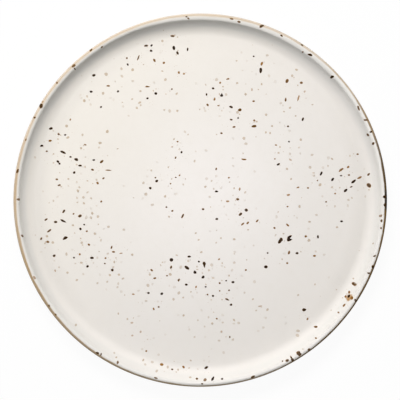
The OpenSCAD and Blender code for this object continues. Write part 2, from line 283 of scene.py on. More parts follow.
def press_wall(bm):
    """Moves the wall inward on the side where the potter left the lip thicker."""
    for vert in bm.verts:
        out = max(vert.co.xy.length, FUSE)
        side = smooth(vert.co.xy.dot(UNEVEN_SIDE) / out, UNEVEN_FROM, UNEVEN_FULL)
        wall = smooth(out, cove_mid.x, cove_mid.x + COVE_RUN)
        crest = smooth(out, lip_mid.x - CREST_RUN, lip_mid.x)
        vert.co.xy *= 1 - UNEVEN * side * wall * (1 - crest) / out


print("the wall is pressed in by up to", round(UNEVEN / MM, 2), "mm")

# %% Draw and throw the face glaze
bm, tip = pen_down((0, 0, floor_z))
tip = line_to(bm, tip, (cove_mid.x, 0, floor_z), 28)
tip = swing(bm, tip, cove_mid, wall_slope, 16)
tip = line_to(bm, tip, on_lip(inner_wall, lip_r), 4)
tip = swing(bm, tip, lip_mid, -crest_turn, 12)
tip = line_to(bm, tip, on_lip(edge_turn, lip_r - glaze_t))
tip = swing(bm, tip, lip_mid, crest_turn, 8)
tip = line_to(bm, tip, cove_mid + (cove_r + glaze_t) * off_wall)
tip = swing(bm, tip, cove_mid, -wall_slope, 8)
line_to(bm, tip, (0, 0, floor_z - glaze_t), 4)
throw(bm)
press_wall(bm)
face_coat = make_piece(bm, "face_glaze_coat", "face_glaze", "face_glaze")

# %% [markdown]
# ## The brown band on the lip
#
# Potters wipe iron oxide along a rim, and it burns through the thin glaze there. The band
# covers the outside of the lip and a little of the outer wall. Its section is a closed strip:
# round the lip, down the wall, and back along the clay.

# %% Draw and throw the band
bm, tip = pen_down(on_lip(edge_turn, lip_r))
tip = swing(bm, tip, lip_mid, -band_turn, 16)
tip = line_to(bm, tip, band_low, 3)
tip = line_to(bm, tip, band_low - glaze_t * off_wall)
tip = line_to(bm, tip, on_lip(outer_wall, lip_r - glaze_t))
tip = swing(bm, tip, lip_mid, band_turn, 10)
line_to(bm, tip, on_lip(edge_turn, lip_r))
throw(bm)
band = make_piece(bm, "brown_lip_band", "lip_band", "lip_band")

# %% [markdown]
# ## The glaze underneath
#
# The back is glazed too, down to a line just above the standing face, and so is the disc within
# the foot ring. Two corners of the section are rounded after the throw. Glaze pools where the
# foot meets the underside, and it ends above the bare clay in a small soft roll.

# %% Draw and throw the coat outside the foot
POOL_ROUND, GLAZE_ROLL = 0.9 * MM, 0.25 * MM
bm, tip = pen_down(band_low)
tip = line_to(bm, tip, cove_mid + (cove_r + body_t) * off_wall, 4)
tip = swing(bm, tip, cove_mid, -wall_slope, 14)
tip = line_to(bm, tip, on_flank(1, foot_h, 0), 5)
tip = line_to(bm, tip, on_flank(1, bare_h, 0))
tip = line_to(bm, tip, on_flank(1, bare_h, glaze_t))
tip = line_to(bm, tip, on_flank(1, under_z, glaze_t))
tip = line_to(bm, tip, (cove_mid.x, 0, under_z))
tip = swing(bm, tip, cove_mid, wall_slope, 8)
tip = line_to(bm, tip, band_low - glaze_t * off_wall)
line_to(bm, tip, band_low)
throw(bm)
soften(bm, on_flank(1, foot_h, 0), POOL_ROUND)
soften(bm, on_flank(1, bare_h, 0), GLAZE_ROLL)
back_coat = make_piece(bm, "back_glaze_coat", "back_glaze", "back_glaze")

# %% Draw and throw the coat within the foot
bm, tip = pen_down((0, 0, foot_h))
tip = line_to(bm, tip, on_flank(-1, foot_h, 0), 14)
tip = line_to(bm, tip, on_flank(-1, bare_h, 0))
tip = line_to(bm, tip, on_flank(-1, bare_h, glaze_t))
tip = line_to(bm, tip, on_flank(-1, under_z, glaze_t))
line_to(bm, tip, (0, 0, under_z), 3)
throw(bm)
soften(bm, on_flank(-1, foot_h, 0), POOL_ROUND)
soften(bm, on_flank(-1, bare_h, 0), GLAZE_ROLL)
base_coat = make_piece(bm, "base_glaze_coat", "base_glaze", "base_glaze")

# %% [markdown]
# ## The iron flecks
#
# Grains of iron in the clay melt through the glaze and leave dark specks. They could be painted
# with a texture, but then they blur as soon as the model is seen from close by, and they would
# not be where the CAD has them. So each fleck is a low blister of its own. It starts from the
# top of the fleck in the CAD: a copy of the node is merged, its sides are cut off, and what is
# left of each fleck is dissolved into one face. Its corners are pulled in and out at random, and
# a few flecks with a notch or a tail are shaped by name. Then the outline is rounded, thickened,
# inset and poked. Last, every vertex is dropped onto the glaze.

# %% The surface that flecks lie on
skin = bmesh.new()
for coat in (face_coat, band):
    skin.from_mesh(coat.data)
skin_tree = BVHTree.FromBMesh(skin)
skin.free()
BRIM_MARGIN = 0.15 * MM
brim = plate_r - BRIM_MARGIN
DOWN = Vector((0, 0, -1))


def drop_on_glaze(point, lift):
    """The place on the glaze under a point, raised or sunk by lift along its normal."""
    plan = point.xy if point.xy.length < brim else point.xy.normalized() * brim
    place, normal, _, _ = skin_tree.ray_cast(Vector((*plan, 2 * plate_h)), DOWN)
    return place + lift * normal


print("glaze in the middle at", round(drop_on_glaze(Vector(), 0).z / MM, 2), "mm")

# %% Fleck outlines from the CAD
TOP_TILT = 0.12
NEARLY_STRAIGHT = math.radians(8)


def fleck_tops(node):
    """A copy of the CAD node with one face left for each fleck, its top."""
    bm = bmesh.new()
    bm.from_mesh(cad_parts[node].data)
    bmesh.ops.remove_doubles(bm, verts=bm.verts[:], dist=FUSE)
    bm.normal_update()
    sides = [face for face in bm.faces if face.normal.z < TOP_TILT]
    bmesh.ops.delete(bm, geom=sides, context="FACES")
    bmesh.ops.dissolve_faces(bm, faces=bm.faces[:])
    bmesh.ops.dissolve_limit(
        bm, angle_limit=NEARLY_STRAIGHT, verts=bm.verts[:], edges=bm.edges[:]
    )
    print(node, "has", len(bm.faces), "fleck tops")
    return bm


# %% Places on the photograph's grid
GRID_SPAN = 374
GRID_MIDDLE = 200
GRID = 2 * plate_r / GRID_SPAN
SAME_FLECK = 1.5 * GRID


def from_grid(column, row):
    """A place on the platter from the photograph's 400 by 400 grid."""
    return Vector((GRID * (column - GRID_MIDDLE), GRID * (GRID_MIDDLE - row), 0))


def is_one_of(places, middle):
    """Whether a fleck's middle is one of these places."""
    return any((middle - from_grid(*place)).xy.length < SAME_FLECK for place in places)


print("one grid step is", round(GRID / MM, 3), "mm")

# %% Fray and shape the outlines
RAGGED = 0.25
LARGE = 2 * MM
MOST_FRAYED = 1.5
# Each row is a fleck's place on the grid, one of its sides, how squarely a corner has to face
# that side, and the share of the corner's reach that is left.
SHAPED_FLECKS = [
    ((289.7, 238.5), (1, 0.15), 0.9, 0.05), ((280, 240.8), (0.7, 0.7), 0.7, 1.4),
    ((298.2, 353), (0.6, -0.8), 0.7, 1.9), ((291.2, 358.2), (0.5, -0.87), 0.7, 1.7),
    ((221.7, 94.3), (0.9, 0.5), 0.7, 0.5), ((221.7, 94.3), (-0.9, 0.5), 0.7, 0.5),
    ((204.3, 264.5), (0.8, -0.6), 0.75, 0.7), ((204.3, 264.5), (-0.8, -0.6), 0.75, 0.7),
    ((204.3, 264.5), (0.8, 0.6), 0.8, 1.15), ((204.3, 264.5), (-0.8, 0.6), 0.8, 1.15),
    ((65.4, 237.7), (1, 0), 0.9, 0.8), ((65.4, 237.7), (-1, 0), 0.9, 0.65),
    ((65.4, 237.7), (-0.6, -0.8), 0.85, 1.7), ((65.4, 237.7), (0.6, -0.8), 0.6, 0.8),
]


def draw_in(vert, middle, share):
    """Moves a vertex in plan, so that this share of its way from the middle is left."""
    vert.co.xy = middle.xy + share * (vert.co.xy - middle.xy)


def fray_outlines(bm, draw):
    """Pulls the corners of each outline in and out, most on large flecks of several grains."""
    for outline in bm.faces:
        middle = outline.calc_center_median()
        reach = max((vert.co - middle).length for vert in outline.verts)
        uneven = RAGGED * min(MOST_FRAYED, reach / LARGE)
        for vert in outline.verts:
            draw_in(vert, middle, 1 + draw.uniform(-uneven, uneven))


def shape_outline(outline, middle):
    """Pulls a notch into the few outlines that have one, and a tail out of the others."""
    for place, side, facing, share in SHAPED_FLECKS:
        if not is_one_of([place], middle):
            continue
        for vert in outline.verts:
            if (vert.co - middle).xy.normalized().dot(Vector(side).normalized()) > facing:
                draw_in(vert, middle, share)


print(len(SHAPED_FLECKS), "notches and tails")

# %% Round the outlines and swell them
SUNK, RIM, SHOULDER, CROWN = -0.12 * MM, -0.015 * MM, 0.055 * MM, 0.075 * MM
HALO = 1.55
CORE = 0.72


def round_outlines(bm, iron_of):
    """Rounds the outlines, gives each its iron and its shape, and widens it by a soft rim."""
    iron = bm.verts.layers.float["iron"]
    lift = bm.verts.layers.float["lift"]
    home = bm.verts.layers.float_vector["home"]
    bmesh.ops.subdivide_edges(bm, edges=bm.edges[:], cuts=1)
    bmesh.ops.smooth_vert(bm, verts=bm.verts[:], factor=0.5, use_axis_x=True, use_axis_y=True)
    for outline in bm.faces:
        middle = outline.calc_center_median()
        own_iron = iron_of(middle)
        shape_outline(outline, middle)
        for vert in outline.verts:
            vert[lift], vert[iron], vert[home] = SUNK, own_iron, middle
            draw_in(vert, middle, HALO)


def swell_tops(bm):
    """Thickens each outline, insets its core and pokes a crown into the core."""
    tone = bm.verts.layers.float["tone"]
    peak = bm.verts.layers.float["crown"]
    iron = bm.verts.layers.float["iron"]
    lift = bm.verts.layers.float["lift"]
    home = bm.verts.layers.float_vector["home"]
    grown = bmesh.ops.extrude_face_region(bm, geom=bm.faces[:], use_keep_orig=True)["geom"]
    tops = [part for part in grown if isinstance(part, bmesh.types.BMFace)]
    for vert in (part for part in grown if isinstance(part, bmesh.types.BMVert)):
        vert[lift] = RIM
    bmesh.ops.inset_individual(bm, faces=tops, thickness=0, use_even_offset=False)
    for vert in (vert for top in tops for vert in top.verts):
        draw_in(vert, vert[home], CORE)
        vert[lift], vert[tone] = SHOULDER, 1
    for crown in bmesh.ops.poke(bm, faces=tops)["verts"]:
        crown[iron] = crown.link_edges[0].other_vert(crown)[iron]
        crown[lift], crown[tone], crown[peak] = CROWN, 1, 1


# %% Lay the blisters on the glaze
CHORD = 0.7 * MM
LIP_ZONE = 2.3 * lip_r
LEAST_PROUD = 0.4


def bend_over_lip(bm):
    """Halves the long edges of the flecks on the lip twice, so that they follow its round."""
    for _ in range(2):
        long_edges = [
            edge for edge in bm.edges
            if edge.calc_length() > CHORD and edge.verts[0].co.xy.length > plate_r - LIP_ZONE
        ]
        bmesh.ops.subdivide_edges(bm, edges=long_edges, cuts=1, use_grid_fill=True)


def lay_on_glaze(bm, height):
    """Drops every vertex onto the glaze. What stands proud does so more where iron is rich."""
    iron = bm.verts.layers.float["iron"]
    lift = bm.verts.layers.float["lift"]
    for vert in bm.verts:
        proud = height * (LEAST_PROUD + (1 - LEAST_PROUD) * vert[iron])
        vert.co = drop_on_glaze(vert.co, vert[lift] * (proud if vert[lift] > 0 else 1))


def raise_blisters(bm, iron_of, height=1.0):
    """Makes each outline a closed blister with a soft rim, and paints tone and iron on it."""
    values = bm.verts.layers.float
    vectors = bm.verts.layers.float_vector
    for name in ("tone", "crown", "iron", "lift"):
        values.new(name)
    vectors.new("home")
    round_outlines(bm, iron_of)
    swell_tops(bm)
    bend_over_lip(bm)
    lay_on_glaze(bm, height)
    values.remove(values["lift"])
    vectors.remove(vectors["home"])
    bmesh.ops.recalc_face_normals(bm, faces=bm.faces[:])


# %% [markdown]
# ## How much iron each fleck holds
#
# A grain with much iron melts to near black, and one with little stays rust. The CAD's three
# nodes already say which kind a fleck is. A seeded random number spreads each kind a little, and
# flecks that are clearly paler or darker than their kind on the real platter are named by their
# place on the photograph's 400 by 400 grid.

# %% Iron of a fleck
NAMED_IRON = {
    0.1: [
        (140.4, 331.8), (54.7, 270.5), (290.3, 159.4), (132, 335.5), (251.9, 88.9), (304.8, 90.9),
        (221.3, 331.6), (260.1, 306.1), (131.6, 322.7), (171.8, 146.3),
    ],
    0.2: [
        (239.5, 188.8), (298.5, 97.3), (288.3, 194.6), (227.7, 201), (218.8, 259.1), (183.7, 73.1),
        (132.9, 294.1), (120.5, 253.1),
    ],
    0.3: [(161.4, 364.5), (261.7, 63), (42.2, 101.7), (34.2, 277.8)],
    0.5: [(345.6, 296.6), (351.9, 298.2), (349, 292.2), (341.2, 169.3), (380.5, 215.9)],
    0.7: [(287, 80.6), (254, 126), (101.4, 161.2), (239.8, 109.4)],
    0.86: [
        (298.2, 353), (291.2, 358.2), (287.1, 360.7), (368.8, 185), (79.7, 215.8), (48.8, 230.4),
        (196.7, 378.8), (281.3, 35.5), (97.2, 353.1), (100.8, 354.6), (302, 44.9),
    ],
    0.95: [
        (384.3, 196.6), (384.9, 205), (145.7, 44.9), (245.9, 209.9), (55.2, 221.7), (63.4, 211),
        (240.3, 214), (53.7, 255.5), (351.4, 186.5), (332.1, 76.7), (310, 54.6), (370.8, 131.9),
    ],
}


def iron_between(low, high, seed):
    """A function that gives a fleck its iron."""
    draw = random.Random(seed)

    def iron_of(middle):
        share = draw.uniform(low, high)
        for iron, places in NAMED_IRON.items():
            if is_one_of(places, middle):
                return iron
        return share
    return iron_of


print(sum(len(places) for places in NAMED_IRON.values()), "flecks with their own iron")

# %% The three kinds of fleck
FRAY_SEED, IRON_SEED = 50, 5
flecks = {}
for node, name, slot, low, high in (
    ("black_flecks", "black_iron_flecks", "black_fleck", 0.93, 1.0),
    ("brown_flecks", "brown_iron_flecks", "brown_fleck", 0.35, 0.9),
    ("lip_flecks", "lip_iron_flecks", "lip_fleck", 0.6, 0.92),
):
    bm = fleck_tops(node)
    fray_outlines(bm, random.Random(FRAY_SEED + len(flecks)))
    raise_blisters(bm, iron_between(low, high, seed=IRON_SEED + len(flecks)))
    flecks[node] = make_piece(bm, name, slot, node)

# %% [markdown]
# ## Faint flecks deep in the glaze
#
# Round the dark flecks lie paler ones that the glaze has almost covered. They have no height of
# their own, so the CAD leaves them out. Most are placed by the photograph's grid. One finer grain
# near each dark fleck in the well is placed by a seeded random number, as grains spread from a
# crushed lump. Each starts as a small ragged disc and goes through the same steps as a dark
# fleck, only much flatter.

# %% Where the faint flecks lie
FAINT_FLECKS = [
    (121, 68), (121.5, 75.5), (80, 94.4), (114.8, 80.7), (102.7, 92.7), (140, 90.3), (122.7, 105.9),
    (128.2, 115.2), (163.9, 109.3), (177, 110.3), (162, 70.5), (153.6, 81.8), (117.3, 148.3),
    (168.1, 166.8), (156.8, 161.5), (146.9, 176), (194.5, 160.7), (87, 192), (241.5, 51.5),
    (242.5, 69.8), (269, 75), (245.5, 93.5), (265.8, 131.9), (243.8, 137.8), (245.7, 143.2),
    (300.3, 153), (216, 175.6), (211.4, 180.4), (254.6, 170.9), (310, 167.1), (314.2, 175.4),
    (350.1, 155.4), (52.4, 242.3), (40.6, 251.7), (81.3, 242.7), (71.9, 249.5), (113.9, 261.9),
    (106.8, 281.6), (117.1, 287.1), (103.3, 228.8), (145.9, 300.8), (157.5, 301.4), (177.9, 369.6),
    (183.4, 315.4), (197.6, 320.2), (194.4, 337), (256.1, 208.4), (210.2, 231), (220.7, 237.9),
    (253.4, 245.3), (337.2, 227), (252.8, 299.2), (267.3, 309.7), (298.2, 294.9), (208.3, 317.1),
    (211.4, 348.9), (223.5, 352.7), (208.9, 361.6), (233.8, 319.9), (81, 97.5), (86.6, 95.8), (83.8, 100),
    (110.3, 97.3), (113.2, 99), (131.8, 98.5), (139.4, 102), (140.3, 104.6), (136.6, 107.4), (153, 90),
    (132.4, 69), (132.5, 80.3), (105.5, 73.5), (165, 79), (196, 82.6), (176.5, 93), (169.5, 110.5),
    (90, 104), (82, 134.2), (99.5, 142.5), (98.5, 147), (80.6, 147.9), (173.6, 138.8), (179, 149),
    (195.5, 151), (184.6, 131.2), (107, 131), (160.2, 51.8), (163, 44), (162, 40), (236.5, 60), (247, 60),
    (267.3, 54.5), (274, 62.5), (292.2, 75), (216.5, 79), (237, 82.5), (261.5, 83.5), (275, 81),
    (296.5, 69), (226, 94), (204, 107.5), (205, 110.5), (219.5, 115.5), (237.5, 111.5), (266, 114),
    (256.5, 121), (272, 125.5), (284.6, 125.3), (289.5, 130.5), (270, 132.5), (233, 138), (300.8, 139.3),
    (280, 146.5), (299, 147), (278.5, 152.5), (290, 153.5), (312, 154.5), (233, 157.5), (206, 150),
    (312.5, 104), (290, 107), (281, 102.5), (284, 111), (256, 73.5), (72.5, 225), (108, 226.5),
    (123.5, 229.5), (98, 224), (94.5, 233.5), (100.5, 240), (130.5, 242), (66, 254), (97, 257.5),
    (81, 262.5), (94, 245), (107.5, 253.5), (110, 259.5), (113, 267), (121, 262), (132, 254.5), (83, 274),
    (99.5, 274.5), (109.5, 275), (118.5, 274.5), (67, 272.5), (76.5, 280), (97, 283), (122.5, 278.5),
    (118, 283.5), (106, 289.5), (121, 291.5), (138.5, 290.5), (147, 285), (152, 284), (149.5, 274.5),
    (118, 313.5), (127, 319), (138.5, 316), (142, 303), (75.5, 325), (46.5, 236), (328.4, 157.6),
    (332, 158.5), (323, 167), (328, 165.5), (313.6, 172.6), (280, 171), (291, 178.6), (287, 168.5),
    (320, 184.5), (332, 187), (358, 190), (365.5, 196), (352, 197.5), (348.5, 199.5), (322.6, 196),
    (299.5, 206), (335, 206), (348, 205.5), (278.2, 211.8), (276.5, 216.5), (316.5, 214.5), (297, 217.5),
    (309.5, 221.5), (308.5, 228.5), (275.5, 235), (283.5, 233.5), (309, 240), (373, 243.5), (324.2, 254.5),
    (315.8, 251.3), (284.2, 253.3), (328.8, 277.2), (315, 284.2), (374.2, 256.7), (178, 315), (212, 323.5),
    (222.5, 315), (219.5, 320), (222.5, 322.5), (188.5, 327), (189, 329.5), (204.5, 326.5), (205, 337),
    (165, 334.5), (153.5, 338), (219, 340.5), (142, 349), (158.4, 354.6), (143, 360), (152, 362),
    (145, 364.5), (114, 353), (116, 357.5), (156.5, 371), (189, 368), (204, 360.5), (190.5, 360.5),
    (167.5, 367), (190, 377.5), (265, 317.5), (285.5, 317), (285.5, 323.5), (263, 327), (233.5, 323.5),
    (238.5, 323), (233, 339.5), (258, 331), (298, 331), (297.5, 335.5), (256, 310.5), (303, 349.5),
    (66, 125.5), (67.5, 137), (53, 153.5), (34.5, 157), (80.5, 173.5), (82.2, 166.2), (84.5, 166.5),
    (68, 178.5), (76.5, 181.5), (87, 180.5), (68, 185.5), (79, 187), (77.5, 190.5), (76.5, 197.5),
    (83, 197), (77, 202), (83.5, 203), (90.5, 198), (57, 196.5), (42.5, 191), (91, 208.5), (92, 213),
    (86, 217), (90.5, 217.5), (97.5, 216.5), (96, 179.5), (123.5, 185.5), (142.5, 198), (145.5, 194),
    (143, 182.5), (147.5, 169.5), (151, 170), (152, 204.5), (53, 200.5), (233, 165.5), (171.5, 178.5),
    (183, 184), (161.5, 179), (175.5, 193.5), (165, 196), (206.5, 178.5), (205.2, 186.4), (234, 188),
    (213.5, 188.5), (209.5, 196.5), (235, 204), (244.5, 200), (224, 206.5), (226, 214.5), (248, 229.5),
    (195.5, 233), (198.5, 239.5), (216, 242.5), (234, 239), (244.5, 246.5), (201, 252), (234.5, 252),
    (234, 262.5), (164.5, 262), (160.5, 265), (176.5, 255), (180.5, 267), (188, 261), (229, 275.5),
    (242, 276), (245, 192), (221, 187.5), (208.8, 270), (211.3, 265), (212.2, 268.3), (208.5, 278.7),
    (213, 277.8), (170, 274.2), (169.2, 285.8), (173.8, 287.2), (147.5, 285.3), (173.3, 299.2),
    (183, 297.5), (178.8, 292.8), (192.2, 296.7), (196.7, 292.5), (201.3, 310.3), (244.5, 292.5),
    (224.7, 267), (221.7, 265.8), (232, 270), (254.2, 281.7), (263.3, 327.5), (265.8, 318),
    (348.3, 299.6), (346.8, 293.8),
]
print(len(FAINT_FLECKS), "faint flecks by the grid")

# %% Finer grains near the dark flecks
FAINT_SEED = 23
SPREAD = 6 * MM
COVE_SHARE = 0.6
PEAK = 0.9
# The smallest, the largest and the most usual half length, in millimetres.
FLECK_HALVES = (0.7, 1.5, 1.0)
GRAIN_HALVES = (0.4, 0.9, 0.6)
well_r = cove_mid.x + COVE_SHARE * cove_r


def fleck_places(piece):
    """The middle of every fleck in a piece, from the vertices on its crown."""
    crowns = piece.data.attributes["crown"].data
    return [vert.co.copy() for vert, crown in zip(piece.data.vertices, crowns) if crown.value > PEAK]


dark_places = [place for piece in flecks.values() for place in fleck_places(piece)]
draw = random.Random(FAINT_SEED)
faint = [(from_grid(*place), draw.triangular(*FLECK_HALVES) * MM) for place in FAINT_FLECKS]
for place in dark_places:
    near = place + Vector((draw.gauss(0, SPREAD), draw.gauss(0, SPREAD), 0))
    if near.xy.length < well_r:
        faint.append((near, draw.triangular(*GRAIN_HALVES) * MM))
print(len(dark_places), "dark flecks,", len(faint), "faint ones")

# %% Make the faint flecks
SLIMMEST = 0.6
DRAWN_IN, DRAWN_OUT = -0.25, 0.15
FAINT_HEIGHT = 0.22
bm = bmesh.new()
for place, long_half in faint:
    shape = Matrix.Diagonal((1, draw.uniform(SLIMMEST, 1), 1, 1))
    turned = Matrix.Rotation(draw.uniform(0, math.pi), 4, "Z") @ shape
    disc = bmesh.ops.create_circle(
        bm, cap_ends=True, segments=6, radius=long_half,
        matrix=Matrix.Translation((place.x, place.y, floor_z)) @ turned,
    )
    for vert in disc["verts"]:
        draw_in(vert, place, 1 + draw.uniform(DRAWN_IN, DRAWN_OUT))
raise_blisters(bm, lambda middle: draw.uniform(0, 1), height=FAINT_HEIGHT)
faint_flecks = make_piece(bm, "faint_glaze_flecks", "face_glaze")

# %% [markdown]
# ## Where the glaze is dusty
#
# Under a lens the glaze between the flecks is dusted with iron too fine to model, and mostly
# where the flecks crowd. A value on the vertices of the coat carries that: for each vertex, the
# flecks within reach are counted, near ones for more. The finish of the glaze reads it.

# %% Paint the dust on the face
DUST_REACH = 16 * MM
CROWDED = 2.5
tree_of_flecks = KDTree(len(dark_places))
for index, place in enumerate(dark_places):
    tree_of_flecks.insert(place, index)
tree_of_flecks.balance()


def dust_at(point):
    """How crowded with flecks a point is, from 0 to 1."""
    found = tree_of_flecks.find_range(point, DUST_REACH)
    return min(1, sum(1 - distance / DUST_REACH for _, _, distance in found) / CROWDED)


dust = face_coat.data.attributes.new("dust", "FLOAT", "POINT")
for vert, value in zip(face_coat.data.vertices, dust.data):
    value.value = dust_at(vert.co)
print("mean dust", round(sum(value.value for value in dust.data) / len(dust.data), 3))

# %% [markdown]
# ## Nodes for finishes
#
# A finish is a small network of nodes. Written out one by one, the nodes hide what they are
# for, so a few helpers add a node, set its sockets or link them, and give back what comes out.
# All patterns read Object coordinates, so they stay on the platter from every side. Most of them
# end in a soft step. Its four numbers are named together in the cells below: the low and the
# high end of the value that it reads, and what it gives at each end.

# %% Helpers that add nodes
def add(tree, kind, inputs=(), **settings):
    """A shader node with its settings, and with numbers or links on its inputs."""
    node = tree.nodes.new("ShaderNode" + kind)
    for key, value in settings.items():
        setattr(node, key, value)
    for key, value in dict(inputs).items():
        if isinstance(value, bpy.types.NodeSocket):
            tree.links.new(value, node.inputs[key])
        else:
            node.inputs[key].default_value = value
    return node


def calc(tree, operation, first, second):
    """Arithmetic on two values."""
    return add(tree, "Math", {0: first, 1: second}, operation=operation).outputs[0]


def times(tree, first, *others):
    """The product of several values."""
    for other in others:
        first = calc(tree, "MULTIPLY", first, other)
    return first


def on_vectors(tree, operation, *vectors):
    """Arithmetic on one or two vectors, which gives a vector or a number."""
    node = add(tree, "VectorMath", dict(enumerate(vectors)), operation=operation)
    return node.outputs["Value" if operation in ("LENGTH", "DISTANCE", "DOT_PRODUCT") else "Vector"]


def ease(tree, value, low, high, start=0.0, end=1.0):
    """A soft step from start to end as the value goes from low to high."""
    limits = {"Value": value, "From Min": low, "From Max": high, "To Min": start, "To Max": end}
    return add(tree, "MapRange", limits, interpolation_type="SMOOTHSTEP").outputs[0]


def mix(tree, share, first, second):
    """A colour between two colours."""
    return add(tree, "Mix", {0: share, 6: first, 7: second}, data_type="RGBA").outputs[2]


# %% Helpers for patterns
def mottle(tree, where, scale, detail=2.0):
    """Soft random patches, so many to the metre."""
    return add(tree, "TexNoise", {"Vector": where, "Scale": scale, "Detail": detail}).outputs[0]


def wander(tree, value, where, scale, reach):
    """A value pushed up and down by random patches, so that an edge made from it is uneven."""
    patches = calc(tree, "SUBTRACT", mottle(tree, where, scale, 3), 0.5)
    return calc(tree, "ADD", value, calc(tree, "MULTIPLY", patches, 2 * reach))


def bump(tree, height, depth, under=None):
    """A normal that follows a height of this depth, over a coarser normal where there is one."""
    inputs = {"Height": height, "Distance": depth}
    if under is not None:
        inputs["Normal"] = under
    return add(tree, "Bump", inputs).outputs[0]


def new_finish(name):
    """A material, its node tree, its shader and the platter's coordinates."""
    finish = bpy.data.materials.new(name)
    finish.use_nodes = True
    tree = finish.node_tree
    return finish, tree, tree.nodes["Principled BSDF"], add(tree, "TexCoord").outputs["Object"]


def set_surface(tree, shader, colour, roughness, normal):
    """Links the three things that every finish here varies."""
    for socket, source in (("Base Color", colour), ("Roughness", roughness), ("Normal", normal)):
        tree.links.new(source, shader.inputs[socket])


# %% Where a point lies on the platter
LEVEL = (1, 1, 0)


def height_of(tree, where):
    """How high a point lies above the table."""
    return add(tree, "SeparateXYZ", {0: where}).outputs["Z"]


def from_axis(tree, where):
    """How far a point lies from the platter's axis."""
    return on_vectors(tree, "LENGTH", on_vectors(tree, "MULTIPLY", where, LEVEL))


def toward_side(tree, where, side):
    """How far round the platter a point lies towards a side: 1 there, and -1 opposite."""
    outward = on_vectors(tree, "NORMALIZE", on_vectors(tree, "MULTIPLY", where, LEVEL))
    return on_vectors(tree, "DOT_PRODUCT", outward, side)


# %% [markdown]
# ## Cream glaze
#
# The glaze is a warm off-white that is never quite even. It is whitest in the middle of the floor,
# where a pool of light is painted into it, warmer towards the back left, and clouded all over. A
# ring of painted shade lies at the foot of the wall, mostly at the sides and not at the front, and
# the steep wall is painted darker and greyer. At the lower right a lump of iron ran out into a rust
# blot. One colour with noise would look like paint, so each of these has its own soft step.

# %% Cream of the floor
CREAM = (0.798, 0.760, 0.720, 1)
# A painted pool of light whitens the middle of the floor.
LIGHT_POOL_CREAM = (0.885, 0.845, 0.815, 1)
CREAM_WARM = (0.822, 0.777, 0.706, 1)
CREAM_THIN = (0.740, 0.680, 0.600, 1)
WARM_SIDE = Vector((-0.80, 0.60, 0))
LIGHT_POOL_WANDER, LIGHT_POOLED = (9, 15 * MM), (0, 135 * MM, 1, 0)
WARM_WANDER, WARMED = (9, 60 * MM), (-40 * MM, 140 * MM, 0, 0.7)
CLOUDS, CLOUDED = (160, 4), (0.35, 0.8, 0, 0.1)


def floor_cream(tree, where):
    """The cream with its painted pool of light in the middle, its warm side and its clouds."""
    # Painted light: whiter towards the middle of the floor.
    off_light_pool = wander(tree, from_axis(tree, where), where, *LIGHT_POOL_WANDER)
    colour = mix(tree, ease(tree, off_light_pool, *LIGHT_POOLED), CREAM, LIGHT_POOL_CREAM)
    to_warm = on_vectors(tree, "DOT_PRODUCT", where, WARM_SIDE)
    warm = ease(tree, wander(tree, to_warm, where, *WARM_WANDER), *WARMED)
    colour = mix(tree, warm, colour, CREAM_WARM)
    return mix(tree, ease(tree, mottle(tree, where, *CLOUDS), *CLOUDED), colour, CREAM_THIN)


# %% Cream of the wall
# A ring of painted shade at the foot of the wall.
FOOT_SHADE_CREAM = (0.690, 0.655, 0.612, 1)
CREAM_STEEP = (0.720, 0.710, 0.680, 1)
FRONT_SIDE = Vector((0, -1, 0))
SHADE_RING_GROWS, SHADE_RING_FADES = (126 * MM, 141 * MM), (141 * MM, 149 * MM, 1, 0)
NONE_AT_FRONT, LESS_AT_BACK = (0.4, 0.95, 1, 0), (-0.8, -0.1, 0.25, 0.6)
STEEPENS = (floor_z + 1 * MM, floor_z + 4 * MM, 0, 0.5)


def wall_cream(tree, where, colour):
    """The cream with a ring of painted shade at the wall's foot, and darker and greyer up the steep wall.
    """
    radius = from_axis(tree, where)
    front = toward_side(tree, where, FRONT_SIDE)
    # Painted shade where the floor meets the wall, mostly at the sides.
    foot_shade = times(
        tree, ease(tree, radius, *SHADE_RING_GROWS), ease(tree, radius, *SHADE_RING_FADES),
        ease(tree, front, *NONE_AT_FRONT), ease(tree, front, *LESS_AT_BACK),
    )
    colour = mix(tree, foot_shade, colour, FOOT_SHADE_CREAM)
    # Darker and greyer up the steep wall.
    return mix(tree, ease(tree, height_of(tree, where), *STEEPENS), colour, CREAM_STEEP)


# %% The rust blot
RUST_BLOT = (0.400, 0.190, 0.035, 1)
BLOT_WANDER, BLOTTED = (400, 1.2 * MM), (2.2 * MM, 4.2 * MM, 0.85, 0)
blot_place = drop_on_glaze(from_grid(349.2, 297.7), 0)


def with_blot(tree, where, colour):
    """The cream with the one rust blot."""
    off_blot = on_vectors(tree, "DISTANCE", where, blot_place)
    blot = ease(tree, wander(tree, off_blot, where, *BLOT_WANDER), *BLOTTED)
    return mix(tree, blot, colour, RUST_BLOT)


print("rust blot at", [round(value / MM, 1) for value in blot_place], "mm")

# %% [markdown]
# ## The stain of the lip
#
# Along the lip the iron stain shows through. Its edge isn't a ruled line, so it is drawn in the
# finish and not by where one coat ends. Two distances from the lip's round are measured in the
# section, one across the wall and one along it. Noise pushes both about, and a soft step makes
# the stain from them. It differs round the platter: wide at the back left, with an amber line on
# the crest, and narrow at the front right, where the crest turns from the light and is painted
# bright. It is thin at the back, towards the light, and thick and dark at the right, away from
# it, where it is toasted and, at one spot, burnt. Its fading towards the light and its darkening
# away from it are partly the iron and partly painted light and painted shade.

# %% Sides and colours of the stain
WIDE_SIDE = Vector((-0.77, 0.64, 0))
